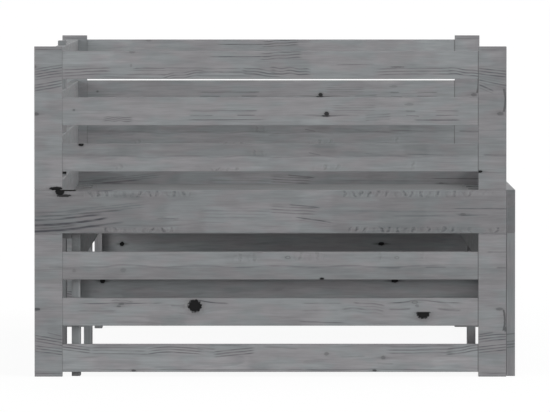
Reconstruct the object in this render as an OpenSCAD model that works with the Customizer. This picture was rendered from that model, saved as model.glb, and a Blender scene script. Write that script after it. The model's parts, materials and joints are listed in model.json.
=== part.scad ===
// Daybed of plain pine boards with a second bed frame that slides out of its front.
// X runs from the back to the front, Y from the left end to the right end, Z up.
// The origin is on the floor, under the middle of the closed bed.

/* [End panels] */
// Length of the bed over both end panels
bed_l = 2040; // [1640:5:2460]
// Depth of an end panel, from the back to the front
panel_d = 1000; // [800:5:1200]
// Height of an end panel
panel_h = 700; // [580:5:900]
// Height of the wide rails' lower edge above the floor
rail_z = 304; // [280:1:380]
// Width of a wide rail
rail_w = 92; // [76:1:112]
// Width of a narrow slat
slat_w = 59; // [45:1:72]
// Width of a post or leg
post_w = 59; // [50:1:72]
// Thickness of every board
board_t = 18.5; // [16:0.5:24]
// Space under the lowest slat and over the highest
edge_gap = 10; // [4:1:20]
// Narrow slats above the wide rail, and as many below it
slats_n = 3; // [2:1:3]

/* [Bed base] */
// Height of the deck slats' top
deck_z = 344.5; // [335:0.5:370]
// Width of a deck slat
deck_slat_w = 59; // [45:1:66]
// Thickness of a deck slat
deck_slat_t = 13; // [11:0.5:16]
// Deck slats of the fixed frame, one more than the pull-out frame has
deck_slats_n = 13; // [11:2:13]
// Space between an end panel and the nearest deck slat
deck_end_gap = 36; // [20:1:60]
// Depth and height of the square batten along the back
back_batten = 39; // [32:1:45]
// Depth of the batten behind the pull-out's front board
front_batten_t = 20; // [18:1:26]
// Space between a slat's end and the board that it points at
slat_end_gap = 0.5; // [0.5:0.5:3]

/* [Pull-out frame] */
// Space between the pull-out frame and an end panel
side_gap = 5; // [3:0.5:10]
// Space between the end panels' front edges and the pull-out's front
front_gap = 1; // [1:0.5:5]
// From the end panels' front edges back to the fixed front rail's face
front_rail_inset = 37.5; // [34:0.5:60]
// Space between the fixed front rail and the end boards passing under it
under_gap = 4.5; // [2:0.5:12]
// How far a rail is cut down where the other frame's slats pass over it
relief = 1.5; // [1:0.5:4]
// Space beside such a slat in the cut
relief_side = 5; // [3:0.5:8]
// Space left between the frames at each end of the travel
stop_gap = 0.3; // [0.3:0.1:3]

/* [Fixings] */
// Diameter of a dowel
dowel_d = 8; // [6:0.5:8]
// Length of a dowel
dowel_l = 40; // [30:1:44]
// How deep a dowel sits in the face of a board
dowel_face = 12; // [8:0.5:13]
// Spacing of two dowels in the end of a post
dowel_pair = 24; // [20:1:26]
// Spacing of two dowels in the end of a wide rail
dowel_pair_wide = 50; // [36:1:54]
// Diameter of the slat screws' shank
slat_screw_d = 3.5; // [3:0.5:4]
// Length of a slat screw
slat_screw_l = 30; // [25:1:34]
// Spacing of the two screws in a slat's end
slat_screw_pair = 32; // [24:1:34]
// Diameter of the batten screws' shank
batten_screw_d = 5; // [4:0.5:6]
// How far a batten screw goes into the board behind the batten
batten_screw_bite = 13; // [10:0.5:14]
// Length of each leg of an angle bracket
bracket_l = 30; // [26:1:32]
// Width of an angle bracket
bracket_w = 16; // [14:1:18]
// Thickness of an angle bracket
bracket_t = 2; // [1.5:0.5:3]
// Diameter of the bracket screws' shank
bracket_screw_d = 3.5; // [3:0.5:4]
// Length of a bracket screw under its head
bracket_screw_l = 15; // [12:0.5:16]

/* [Hidden] */
$fn = 48;
wood = [0.53, 0.54, 0.52];
dark_wood = [0.46, 0.47, 0.45];
pale_wood = [0.80, 0.70, 0.53];
steel = [0.75, 0.76, 0.78];
along_x = [0, 90, 0];
along_y = [90, 0, 0];
along_z = [0, 0, 0];
// Play round a dowel or screw and past the ends of a dowel
bore_play = 0.15;
end_play = 0.5;
head_ratio = 2;
head_sink = 0.2;
pan_head_t = 2.4;
// Space beside a bracket screw's head, and between a bracket and the edge that it stands by
head_edge = 1;
bracket_edge_low = 1;
bracket_edge_side = 0.5;
// How far two shapes of one piece run into each other, and how far a hole's cut starts outside
lap = 0.01;
cut_over = 1;

// Places across the bed, from its back to its front
closed_d = panel_d + front_gap + board_t;
back_x = -closed_d / 2;
panel_front_x = back_x + panel_d;
back_board_x = back_x + (post_w - board_t) / 2;
back_face_x = back_board_x + board_t;
batten_face_x = back_face_x + back_batten;
front_rail_x = panel_front_x - front_rail_inset - board_t;
front_x = panel_front_x + front_gap;
rear_frame_x = batten_face_x + stop_gap;
rear_frame_face_x = rear_frame_x + board_t;
travel = front_rail_x - rear_frame_face_x - stop_gap;

// Places along the bed
half_l = bed_l / 2;
inner_half = half_l - board_t;
pull_half = inner_half - side_gap;
pull_leg_y = pull_half - post_w / 2;

// Heights
rail_top = rail_z + rail_w;
lower_pitch = (rail_z - edge_gap) / slats_n;
upper_pitch = (panel_h - edge_gap - rail_top) / slats_n;
seat_z = deck_z - deck_slat_t;
base_rail_z = seat_z - rail_w;
end_board_top = base_rail_z - under_gap;
end_board_z = end_board_top - rail_w;

deck_span = 2 * inner_half - 2 * deck_end_gap - deck_slat_w;
deck_pitch = deck_span / (deck_slats_n - 1);

SIDES = ["left", "right"];
THREE = ["left", "mid", "right"];
ROWS = [for (i = [1:slats_n]) i];
function sign_of(side) = side == "left" ? -1 : side == "right" ? 1 : 0;
function numbered(stem) = [for (i = ROWS) str(stem, i)];
function end_nodes(side) = concat(
    [str(side, "_rail"), str(side, "_rear_leg"), str(side, "_front_leg")],
    [str(side, "_rear_arm_post"), str(side, "_front_arm_post")],
    numbered(str(side, "_arm_slat_")),
    numbered(str(side, "_lower_slat_"))
);
echo(travel = travel);

// Height of a slat's lower edge, row 1 being the lowest
function lower_z(row) = edge_gap + (row - 1) * lower_pitch;
function upper_z(row) = rail_top + upper_pitch - slat_w + (row - 1) * upper_pitch;
// Middle of a fixed slat, and of a pull-out slat, along the bed
function fixed_y(i) = (i - (deck_slats_n - 1) / 2) * deck_pitch;
function pull_y(i) = fixed_y(i + 0.5);
FIXED_YS = [for (i = [0:deck_slats_n - 1]) fixed_y(i)];
PULL_YS = [for (i = [0:deck_slats_n - 2]) pull_y(i)];

// Dowels and screws are lists of [middle or head point, rotation].
// Two dowels, spread along the direction given, about a middle point
function pair(middle, direction, spacing, turn) =
    [for (s = [-1, 1]) [middle + direction * s * spacing / 2, turn]];

// Panel mid-thickness, the seams inside an end panel and its dowels
function panel_mid_y(s) = s * (half_l - board_t / 2);
function panel_dowels(s) = concat(
    [
        for (x = [back_x + post_w, panel_front_x - post_w], row = ROWS, z = [lower_z(row), upper_z(row)])
            [[x, panel_mid_y(s), z + slat_w / 2], along_x]
    ],
    [
        for (x = [back_x + post_w / 2, panel_front_x - post_w / 2], z = [rail_z, rail_top])
            each pair([x, panel_mid_y(s), z], [1, 0, 0], dowel_pair, along_z)
    ]
);

// Dowels from a board's end into the face of another lie mostly in the board's end
face_shift = dowel_l / 2 - dowel_face;
back_mid_x = back_board_x + board_t / 2;
function back_dowels(s) = concat(
    [
        for (y = [post_w / 2, inner_half - face_shift], row = ROWS)
            [[back_mid_x, s * y, upper_z(row) + slat_w / 2], along_y]
    ],
    [
        for (y = [post_w / 2, inner_half - face_shift])
            each pair([back_mid_x, s * y, rail_z + rail_w / 2], [0, 0, 1], dowel_pair_wide, along_y)
    ]
);

// Two brackets hold each end of the front rail, below the dowels in the top of the panel's leg,
// with a dowel between them.
front_rail_mid_x = front_rail_x + board_t / 2;
bracket_low_z = base_rail_z + bracket_w / 2 + bracket_edge_low;
bracket_high_z = rail_z - dowel_l / 2 - end_play - bracket_screw_d;
rail_end_dowel_z = (bracket_low_z + bracket_high_z) / 2;
function front_rail_dowels(s) =
    [[[front_rail_mid_x, s * (inner_half - face_shift), rail_end_dowel_z], along_y]];
mid_leg_dowels = pair([front_rail_mid_x, 0, base_rail_z], [0, 1, 0], dowel_pair, along_z);

FRAME_DOWELS = concat(
    [for (s = [-1, 1]) each panel_dowels(s)],
    [for (s = [-1, 1]) each back_dowels(s)],
    [for (s = [-1, 1]) each front_rail_dowels(s)],
    mid_leg_dowels
);

front_mid_x = front_x + board_t / 2;
rear_mid_x = rear_frame_x + board_t / 2;
end_board_mid_z = end_board_z + rail_w / 2;
PULLOUT_DOWELS = concat(
    [
        for (s = [-1, 0, 1])
            each pair([front_mid_x, s * pull_leg_y, rail_z], [0, 1, 0], dowel_pair, along_z)
    ],
    [
        for (s = [-1, 1], y = [post_w / 2, pull_half - post_w], row = ROWS)
            [[front_mid_x, s * y, lower_z(row) + slat_w / 2], along_y]
    ],
    [
        for (s = [-1, 0, 1])
            each pair([rear_mid_x, s * pull_leg_y, base_rail_z], [0, 1, 0], dowel_pair, along_z)
    ],
    [
        for (s = [-1, 1], x = [rear_frame_face_x + face_shift, front_x - face_shift])
            each pair([x, s * pull_leg_y, end_board_mid_z], [0, 0, 1], dowel_pair_wide, along_x)
    ]
);

module dowels(list) {
    for (d = list) {
        translate(d[0]) rotate(d[1]) cylinder(d = dowel_d, h = dowel_l, center = true);
    }
}

module dowel_bores(list) {
    bore_l = dowel_l + 2 * end_play;
    for (d = list) {
        translate(d[0]) rotate(d[1]) cylinder(d = dowel_d + 2 * bore_play, h = bore_l, center = true);
    }
}

// Screws are drawn along -Z from their head's top at the origin.
module flat_screw(shank_d, length, play = 0) {
    head_d = shank_d * head_ratio;
    head_t = (head_d - shank_d) / 2;
    translate([0, 0, -head_t]) cylinder(d1 = shank_d + 2 * play, d2 = head_d + 2 * play, h = head_t);
    translate([0, 0, -length - play]) cylinder(d = shank_d + 2 * play, h = length + play - head_t + lap);
}

module flat_screw_hole(shank_d, length) {
    flat_screw(shank_d, length, bore_play);
    head_d = shank_d * head_ratio + 2 * bore_play;
    translate([0, 0, -lap]) cylinder(d = head_d, h = 2 * head_sink);
}

module pan_screw() {
    cylinder(d = bracket_screw_d * head_ratio, h = pan_head_t);
    translate([0, 0, -bracket_screw_l]) cylinder(d = bracket_screw_d, h = bracket_screw_l + lap);
}

module pan_screw_hole() {
    hole_l = bracket_screw_l + end_play;
    translate([0, 0, -hole_l]) cylinder(d = bracket_screw_d + 2 * bore_play, h = hole_l + cut_over);
}

// Slat screws go down through a slat's ends, two in each
batten_mid_x = back_face_x + back_batten / 2;
front_batten_x = front_x - front_batten_t;
front_batten_mid_x = front_x - front_batten_t / 2;
head_z = deck_z - head_sink;
function slat_screw_points(xs, ys) = [
    for (x = xs, y = ys, s = [-1, 1]) [x, y + s * slat_screw_pair / 2, head_z]
];
FIXED_SLAT_SCREWS = slat_screw_points([batten_mid_x, front_rail_mid_x], FIXED_YS);
PULL_SLAT_SCREWS = slat_screw_points([rear_mid_x, front_batten_mid_x], PULL_YS);

// Batten screws stand between the slats that the batten carries
batten_screw_z = (rail_z + seat_z) / 2;
BACK_BATTEN_YS = [for (s = [-1, 1], k = [0.5:2:4.5]) s * k * deck_pitch];
FRONT_BATTEN_YS = [for (s = [-1, 1], k = [1:2:5]) s * k * deck_pitch];

module slat_screws(points) {
    for (p = points) {
        translate(p) flat_screw(slat_screw_d, slat_screw_l);
    }
}

module slat_screw_holes(points) {
    for (p = points) {
        translate(p) flat_screw_hole(slat_screw_d, slat_screw_l);
    }
}

module back_batten_screws(holes = false) {
    length = back_batten + batten_screw_bite;
    for (y = BACK_BATTEN_YS) {
        translate([batten_face_x - head_sink, y, batten_screw_z]) rotate([0, 90, 0])
            if (holes) flat_screw_hole(batten_screw_d, length);
            else flat_screw(batten_screw_d, length);
    }
}

module front_batten_screws(holes = false) {
    length = front_batten_t + batten_screw_bite;
    for (y = FRONT_BATTEN_YS) {
        translate([front_batten_x + head_sink, y, batten_screw_z]) rotate([0, -90, 0])
            if (holes) flat_screw_hole(batten_screw_d, length);
            else flat_screw(batten_screw_d, length);
    }
}

// An angle bracket stands in the corner at the origin, with one leg along +X and one along +Z.
bracket_hole_near = bracket_t + pan_head_t + bracket_screw_d * head_ratio / 2 + head_edge;
bracket_hole_far = bracket_l - bracket_screw_d * head_ratio / 2 - head_edge;
module bracket_screws(holes = false) {
    for (u = [bracket_hole_near, bracket_hole_far]) {
        translate([u, 0, bracket_t]) if (holes) pan_screw_hole();
            else pan_screw();
        translate([bracket_t, 0, u]) rotate([0, 90, 0]) if (holes) pan_screw_hole();
            else pan_screw();
    }
}

module bracket() {
    difference() {
        union() {
            translate([0, -bracket_w / 2, 0]) cube([bracket_l, bracket_w, bracket_t]);
            translate([0, -bracket_w / 2, 0]) cube([bracket_t, bracket_w, bracket_l]);
        }
        bracket_screws(holes = true);
    }
}

// The front rail's brackets stand on its front face, and the batten's under it, on the rear leg.
batten_bracket_x = back_x + post_w - bracket_w / 2 - bracket_edge_side;
module at_brackets() {
    for (s = [-1, 1]) {
        for (z = [bracket_low_z, bracket_high_z]) {
            translate([front_rail_x + board_t, s * inner_half, z])
                mirror([0, s > 0 ? 1 : 0, 0]) rotate([-90, 0, 0]) children();
        }
        translate([batten_bracket_x, s * inner_half, seat_z - back_batten])
            mirror([0, s > 0 ? 1 : 0, 0]) rotate([180, 0, 0]) rotate([0, 0, -90]) children();
    }
}

module bracket_screw_holes() {
    at_brackets() bracket_screws(holes = true);
}

// A board given by its lowest corner and its size
module board(corner, size) {
    translate(corner) cube(size);
}

module end_panel_board(s, x, z, w, h) {
    difference() {
        board([x, s < 0 ? -half_l : inner_half, z], [w, board_t, h]);
        dowel_bores(concat(panel_dowels(s), back_dowels(s), front_rail_dowels(s)));
        bracket_screw_holes();
    }
}

slat_x = back_x + post_w;
slat_len = panel_d - 2 * post_w;
far_post_x = panel_front_x - post_w;
upper_h = panel_h - rail_top;

module end_rail(s) {
    color(wood) end_panel_board(s, back_x, rail_z, panel_d, rail_w);
}

module end_leg(s, x) {
    color(wood) end_panel_board(s, x, 0, post_w, rail_z);
}

module arm_post(s, x) {
    color(wood) end_panel_board(s, x, rail_top, post_w, upper_h);
}

module end_slat(s, z) {
    color(wood) end_panel_board(s, slat_x, z, slat_len, slat_w);
}

module back_mid_post() {
    color(wood) difference() {
        board([back_board_x, -post_w / 2, 0], [board_t, post_w, panel_h]);
        dowel_bores(concat(back_dowels(-1), back_dowels(1)));
    }
}

module back_board(s, z, w) {
    length = inner_half - post_w / 2;
    color(wood) difference() {
        board([back_board_x, s < 0 ? -inner_half : post_w / 2, z], [board_t, length, w]);
        dowel_bores(back_dowels(s));
        back_batten_screws(holes = true);
    }
}

module back_batten() {
    color(dark_wood) difference() {
        board([back_face_x, -inner_half, seat_z - back_batten], [back_batten, 2 * inner_half, back_batten]);
        slat_screw_holes(FIXED_SLAT_SCREWS);
        back_batten_screws(holes = true);
        bracket_screw_holes();
    }
}

// Shallow cuts in a rail's top, over which the other frame's slats pass
module reliefs(ys) {
    cut_w = deck_slat_w + 2 * relief_side;
    for (y = ys) {
        translate([-closed_d / 2, y - cut_w / 2, seat_z - relief]) cube([closed_d, cut_w, 2 * relief]);
    }
}

module front_rail() {
    color(dark_wood) difference() {
        board([front_rail_x, -inner_half, base_rail_z], [board_t, 2 * inner_half, rail_w]);
        reliefs(PULL_YS);
        dowel_bores(concat(front_rail_dowels(-1), front_rail_dowels(1), mid_leg_dowels));
        slat_screw_holes(FIXED_SLAT_SCREWS);
        bracket_screw_holes();
    }
}

module front_mid_leg() {
    color(dark_wood) difference() {
        board([front_rail_x, -post_w / 2, 0], [board_t, post_w, base_rail_z]);
        dowel_bores(mid_leg_dowels);
    }
}

module deck_slats(x_from, x_to, ys, screws) {
    color(dark_wood) difference() {
        for (y = ys) {
            board([x_from, y - deck_slat_w / 2, seat_z], [x_to - x_from, deck_slat_w, deck_slat_t]);
        }
        slat_screw_holes(screws);
    }
}

module fixed_deck_slats() {
    deck_slats(back_face_x + slat_end_gap, front_rail_x + board_t, FIXED_YS, FIXED_SLAT_SCREWS);
}

module frame_dowels() {
    color(pale_wood) dowels(FRAME_DOWELS);
}

module frame_brackets() {
    color(steel) at_brackets() bracket();
}

module frame_screws() {
    color(steel) {
        slat_screws(FIXED_SLAT_SCREWS);
        back_batten_screws();
        at_brackets() bracket_screws();
    }
}

module pullout_board(corner, size) {
    color(wood) difference() {
        board(corner, size);
        dowel_bores(PULLOUT_DOWELS);
    }
}

module pullout_front_board() {
    color(wood) difference() {
        board([front_x, -pull_half, rail_z], [board_t, 2 * pull_half, rail_w]);
        dowel_bores(PULLOUT_DOWELS);
        front_batten_screws(holes = true);
    }
}

module pullout_front_leg(s) {
    pullout_board([front_x, s * pull_leg_y - post_w / 2, 0], [board_t, post_w, rail_z]);
}

module pullout_front_slat(s, row) {
    leg_edge = pull_half - post_w;
    length = leg_edge - post_w / 2;
    y = s < 0 ? -leg_edge : post_w / 2;
    pullout_board([front_x, y, lower_z(row)], [board_t, length, slat_w]);
}

module pullout_rear_rail() {
    color(dark_wood) difference() {
        board([rear_frame_x, -pull_half, base_rail_z], [board_t, 2 * pull_half, rail_w]);
        reliefs(FIXED_YS);
        dowel_bores(PULLOUT_DOWELS);
        slat_screw_holes(PULL_SLAT_SCREWS);
    }
}

module pullout_rear_leg(s) {
    pullout_board([rear_frame_x, s * pull_leg_y - post_w / 2, 0], [board_t, post_w, base_rail_z]);
}

module pullout_end_board(s) {
    length = front_x - rear_frame_face_x;
    y = s * pull_leg_y - board_t / 2;
    pullout_board([rear_frame_face_x, y, end_board_z], [length, board_t, rail_w]);
}

// The front batten stops at the outer legs, clear of the brackets on the fixed rail.
module pullout_batten() {
    batten_half = pull_half - post_w;
    color(dark_wood) difference() {
        board(
            [front_batten_x, -batten_half, seat_z - back_batten],
            [front_batten_t, 2 * batten_half, back_batten]
        );
        slat_screw_holes(PULL_SLAT_SCREWS);
        front_batten_screws(holes = true);
    }
}

module pullout_deck_slats() {
    deck_slats(rear_frame_x, front_x - slat_end_gap, PULL_YS, PULL_SLAT_SCREWS);
}

module pullout_dowels() {
    color(pale_wood) dowels(PULLOUT_DOWELS);
}

module pullout_screws() {
    color(steel) {
        slat_screws(PULL_SLAT_SCREWS);
        front_batten_screws();
    }
}

for (side = SIDES) {
    s = sign_of(side);
    end_rail(s);
    end_leg(s, back_x);
    end_leg(s, far_post_x);
    arm_post(s, back_x);
    arm_post(s, far_post_x);
    back_board(s, rail_z, rail_w);
    pullout_end_board(s);
    for (row = ROWS) {
        end_slat(s, upper_z(row));
        end_slat(s, lower_z(row));
        back_board(s, upper_z(row), slat_w);
        pullout_front_slat(s, row);
    }
}
for (side = THREE) {
    s = sign_of(side);
    pullout_front_leg(s);
    pullout_rear_leg(s);
}
back_mid_post();
back_batten();
front_rail();
front_mid_leg();
fixed_deck_slats();
frame_dowels();
frame_brackets();
frame_screws();
pullout_front_board();
pullout_rear_rail();
pullout_batten();
pullout_deck_slats();
pullout_dowels();
pullout_screws();
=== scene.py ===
# Daybed of grey-stained pine boards. A second bed frame slides out of its front on its own legs.
# Each board is made anew with eased edges and its own grain. What repeats is laid out by rule.
import json
import math

import bmesh
import bpy
from mathutils import Matrix, Vector

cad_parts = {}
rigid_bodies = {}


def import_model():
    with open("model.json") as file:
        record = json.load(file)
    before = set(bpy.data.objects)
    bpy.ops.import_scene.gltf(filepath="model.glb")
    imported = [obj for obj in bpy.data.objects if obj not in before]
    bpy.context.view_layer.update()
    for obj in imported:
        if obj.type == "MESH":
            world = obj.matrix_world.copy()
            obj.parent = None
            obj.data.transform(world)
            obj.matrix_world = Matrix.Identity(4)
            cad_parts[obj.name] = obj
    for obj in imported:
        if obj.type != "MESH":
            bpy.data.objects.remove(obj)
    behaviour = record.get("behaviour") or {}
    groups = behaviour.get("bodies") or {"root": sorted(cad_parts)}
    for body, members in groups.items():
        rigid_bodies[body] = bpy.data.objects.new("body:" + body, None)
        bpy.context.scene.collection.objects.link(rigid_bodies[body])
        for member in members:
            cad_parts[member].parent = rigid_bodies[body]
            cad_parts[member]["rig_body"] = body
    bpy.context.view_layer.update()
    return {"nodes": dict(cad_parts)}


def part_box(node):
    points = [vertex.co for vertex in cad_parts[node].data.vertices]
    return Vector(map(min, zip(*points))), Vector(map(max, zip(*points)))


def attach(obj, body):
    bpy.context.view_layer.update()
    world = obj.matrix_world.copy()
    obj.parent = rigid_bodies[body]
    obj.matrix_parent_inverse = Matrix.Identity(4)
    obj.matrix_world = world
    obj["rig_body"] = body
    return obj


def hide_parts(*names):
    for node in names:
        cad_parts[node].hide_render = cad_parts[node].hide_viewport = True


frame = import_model()

# End panels: each is eleven pine boards in one plane, dowelled edge to end, sanded and stained
# grey. The makers cut both panels from like boards, so knots and grain lie alike in the two.
# The grain runs from the back to the front, through the posts as well.


def srgb(red, green, blue):
    """A stain's colour as a paint chart gives it, 0 to 255, turned to light."""
    chart = (red / 255, green / 255, blue / 255)
    return tuple(c / 12.92 if c <= 0.04045 else ((c + 0.055) / 1.055) ** 2.4 for c in chart) + (1.0,)


class Wire:
    """A value in a node tree. Sums with it add the nodes that work them out."""

    def __init__(self, socket):
        self.socket = socket
        self.tree = socket.id_data

    def __add__(self, other):
        return calc("ADD", self, other)

    def __sub__(self, other):
        return calc("SUBTRACT", self, other)

    def __rsub__(self, other):
        return calc("SUBTRACT", other, self)

    def __mul__(self, other):
        return calc("MULTIPLY", self, other)

    def __rmul__(self, other):
        return calc("MULTIPLY", other, self)

    def __truediv__(self, other):
        return calc("DIVIDE", self, other)

    def __rtruediv__(self, other):
        return calc("DIVIDE", other, self)

    def __abs__(self):
        return calc("ABSOLUTE", self)


def feed(node, *values, **named):
    """Feeds a node's inputs, in order and by name, with wires or with start values."""
    for key, value in [*enumerate(values), *named.items()]:
        socket = node.inputs[key if isinstance(key, int) else key.replace("_", " ")]
        if isinstance(value, Wire):
            value.tree.links.new(value.socket, socket)
        elif value is not None:
            socket.default_value = value


def add(kind, *values, tree=None, out=0, **named):
    """Adds a node and returns the output asked for, or a list of them. Values feed its inputs. So
    do those whose name starts with a capital, and the others are its settings."""
    if tree is None:
        tree = next(value.tree for value in (*values, *named.values()) if isinstance(value, Wire))
    node = tree.nodes.new(kind)
    for name in [name for name in named if name.islower()]:
        setattr(node, name, named.pop(name))
    feed(node, *values, **named)
    found = node.outputs[out]
    return [Wire(socket) for socket in found] if isinstance(out, slice) else Wire(found)


def is_vector(value):
    return isinstance(value, tuple) or isinstance(value, Wire) and value.socket.type == "VECTOR"


def calc(operation, *values):
    kind = "ShaderNodeVectorMath" if any(map(is_vector, values)) else "ShaderNodeMath"
    return add(kind, *values, operation=operation)


def larger(a, b):
    return calc("MAXIMUM", a, b)


def smaller(a, b):
    return calc("MINIMUM", a, b)


def scaled(value, by, start):
    return calc("MULTIPLY_ADD", value, by, start)


def parts(vector):
    """A vector's three numbers."""
    return add("ShaderNodeSeparateXYZ", vector, out=slice(0, 3))


def joined(*numbers):
    """A vector of the numbers given, the rest being 0."""
    return add("ShaderNodeCombineXYZ", *numbers)


def ramp(value, start, end, low=0.0, high=1.0):
    """A smooth step from low to high while value goes from start to end."""
    settings = {"interpolation_type": "SMOOTHSTEP", "clamp": False}
    return add("ShaderNodeMapRange", value, start, end, low, high, **settings)


def fall(value, start, end):
    """A smooth step down from 1 to 0."""
    return ramp(value, start, end, 1.0, 0.0)


def noise(place, scale, detail=2.0, rough=0.5):
    """Clouds between 0 and 1. A scale of three numbers draws them out along an axis."""
    if isinstance(scale, tuple):
        place, scale = place * scale, 1.0
    return add("ShaderNodeTexNoise", Vector=place, Scale=scale, Detail=detail, Roughness=rough)


def by_chance(number):
    """A chance value between 0 and 1 for each number."""
    return add("ShaderNodeTexWhiteNoise", None, number, noise_dimensions="1D")


def blend_colours(share, under, over, mode="MIX"):
    settings = {"data_type": "RGBA", "blend_type": mode}
    return add("ShaderNodeMix", Factor=share, A=under, B=over, out="Result", **settings)


FLOAT = "NodeSocketFloat"
VECTOR = "NodeSocketVector"
GEOMETRY = "NodeSocketGeometry"
SOCKET_TYPES = {float: FLOAT, int: "NodeSocketInt", tuple: VECTOR, "VALUE": FLOAT, "GEOMETRY": GEOMETRY}


def new_group(name, kind="ShaderNodeTree", **takes):
    """Starts a node group and returns its inputs. Each is given by its start value or its type."""
    tree = bpy.data.node_groups.new(name, kind)
    for title, value in takes.items():
        socket_type = SOCKET_TYPES.get(type(value), value)
        title = title.replace("_", " ")
        socket = tree.interface.new_socket(title, in_out="INPUT", socket_type=socket_type)
        if socket_type != value:
            socket.default_value = value
    sockets = tree.nodes.new("NodeGroupInput").outputs
    return [Wire(sockets[i]) for i in range(len(takes))]


def hand_over(**results):
    """Ends a node group: the wires become its outputs. Returns the group."""
    tree = next(iter(results.values())).tree
    for title, wire in results.items():
        tree.interface.new_socket(title, in_out="OUTPUT", socket_type=SOCKET_TYPES[wire.socket.type])
    feed(tree.nodes.new("NodeGroupOutput"), **results)
    return tree


def use_group(group, *values):
    """What a group gives when its inputs are fed in order."""
    return add("ShaderNodeGroup", *values, out=slice(None), node_tree=group)


def make_knot_group():
    """A branch sawn across: a dark eye, a smear along the grain, and grain that bends round it."""
    sizes = {"Half_Length": 6.0, "Half_Height": 4.0, "Tail": 0.3, "Hollow": 0.0, "Flat_Top": 9.0}
    place, centre, half_l, half_h, tail, hollow, flat_top = new_group(
        "pine knot", Place=VECTOR, Centre=VECTOR, **sizes
    )
    x, y, z = parts(place - centre)
    along, across = x / half_l, z / half_h
    square = scaled(across, across, along * along)
    reach = calc("SQRT", square) + scaled(noise(place, 0.22), 0.7, -0.35)
    eye = fall(reach, 0.8, 1.12) - fall(reach, 0.25, 0.8) * hollow
    halo = fall(reach, 0.9, 1.9) * 0.22
    smear = fall(abs(along), 0.5, 3.6) * fall(abs(across), 0.1, 0.9) * tail
    below_top = fall(across - flat_top, -0.1, 0.05)
    near = 1.0 / scaled(square, 0.35, 1.0)
    bend = near * (across / (abs(across) + 0.35)) * half_h * -0.9
    return hand_over(Dark=larger(eye, larger(smear, halo)) * below_top, Bend=bend)


def make_band_group():
    """A band of fine latewood lines close together, which rises, bows and wavers along the board."""
    lie = {"Start": 0.0, "End": 1000.0, "Height": 0.0, "Rise": 0.0, "Spread": 4.0, "Spacing": 4.0}
    form = {"Bow": 0.0, "Wave": 0.0, "Wave_Length": 50.0}
    place, start, end, height, rise, spread, spacing, bow, wave, wave_length = new_group(
        "latewood band", Place=VECTOR, **lie, **form
    )
    drift = scaled(noise(place, (0.012, 0.0, 0.012)), 4.0, -2.0)
    x, y, z = parts(place - joined(0.0, 0.0, drift))
    share = (x - start) / (end - start)
    rest = 1.0 - share
    waver = calc("SINE", x / wave_length * math.tau) * wave
    apart = z - (height + scaled(rise, share, share * rest * (bow * 4.0)) + waver)
    body = fall(abs(apart) / spread, 0.6, 1.1)
    saw = calc("FRACT", apart / spacing + 0.5)
    fine = ramp(saw, 0.15, 0.5) * fall(saw, 0.6, 0.9)
    ends = ramp(share, 0.0, 0.14) * ramp(rest, 0.0, 0.14)
    gaps = ramp(noise(place, (0.03, 0.0, 0.3)), 0.3, 0.62, 0.35, 1.0)
    return hand_over(Dark=body * ends * fine * gaps)


def make_patch_group():
    """Where a board takes up more or less stain: a long soft-edged patch."""
    place, centre, half_l, half_h = new_group(
        "stain patch", Place=VECTOR, Centre=VECTOR, Half_Length=40.0, Half_Height=10.0
    )
    stray = (noise(place, (0.025, 0.0, 0.16), 3.0) - 0.5) * (30.0, 0.0, 6.0)
    x, y, z = parts(place + stray - centre)
    return hand_over(Mask=ramp(half_l - abs(x), -9.0, 9.0) * ramp(half_h - abs(z), -1.6, 2.4))


def make_ripple_group():
    """A row of small ripples where the plane has torn the grain: dark hooks with pale wood beside."""
    sizes = {"Start": 0.0, "End": 100.0, "Height": 0.0, "Half_Height": 6.0, "Pitch": 18.0}
    place, start, end, height, half_h, pitch = new_group("torn ripples", Place=VECTOR, **sizes)
    x, y, z = parts(place)
    step = x / pitch
    cell = calc("FLOOR", step)
    chance, second = by_chance(cell), by_chance(cell + 0.37)
    rise = (z - (height + scaled(second, 3.0, -1.5))) / half_h
    square = rise * rise
    along = (calc("FRACT", step) - scaled(chance, 0.3, 0.35)) * pitch
    stray = scaled(noise(place, 0.13), 12.0, -6.0)
    lean = rise * scaled(chance, 11.0, -5.5)
    bow = square * scaled(second, 8.0, -4.0)
    off = abs(along + stray + (lean + bow))
    torn = noise(place + (71.0, 0.0, 19.0), 0.2)
    hook = fall(off, 0.6, 4.8) * ramp(torn, 0.38, 0.62, 0.15, 1.0)
    pale = ramp(off, 3.2, 5.5) * fall(off, 6.0, 9.5)
    body = scaled(pale, -0.25, hook) * fall(square, 0.35, 1.2)
    body = body * ramp(x - start, 0.0, 12.0) * ramp(end - x, 0.0, 12.0)
    return hand_over(Dark=body * ramp(second, 0.1, 0.5, 0.35, 1.0))


def make_streak_group():
    """A streak of bark that runs across the grain, thin and bowed."""
    sizes = {"Half_Height": 20.0, "Bow": 0.0, "Half_Width": 2.0}
    place, centre, half_h, bow, half_w = new_group("bark streak", Place=VECTOR, Centre=VECTOR, **sizes)
    x, y, z = parts(place - centre)
    rise = z / half_h
    square = rise * rise
    ragged = scaled(noise(place, 0.15), 2.4, -1.2)
    off = abs(scaled(square, bow * -1.0, x) + ragged) / half_w
    return hand_over(Dark=fall(off, 0.5, 1.3) * fall(square, 0.75, 1.1))


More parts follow.
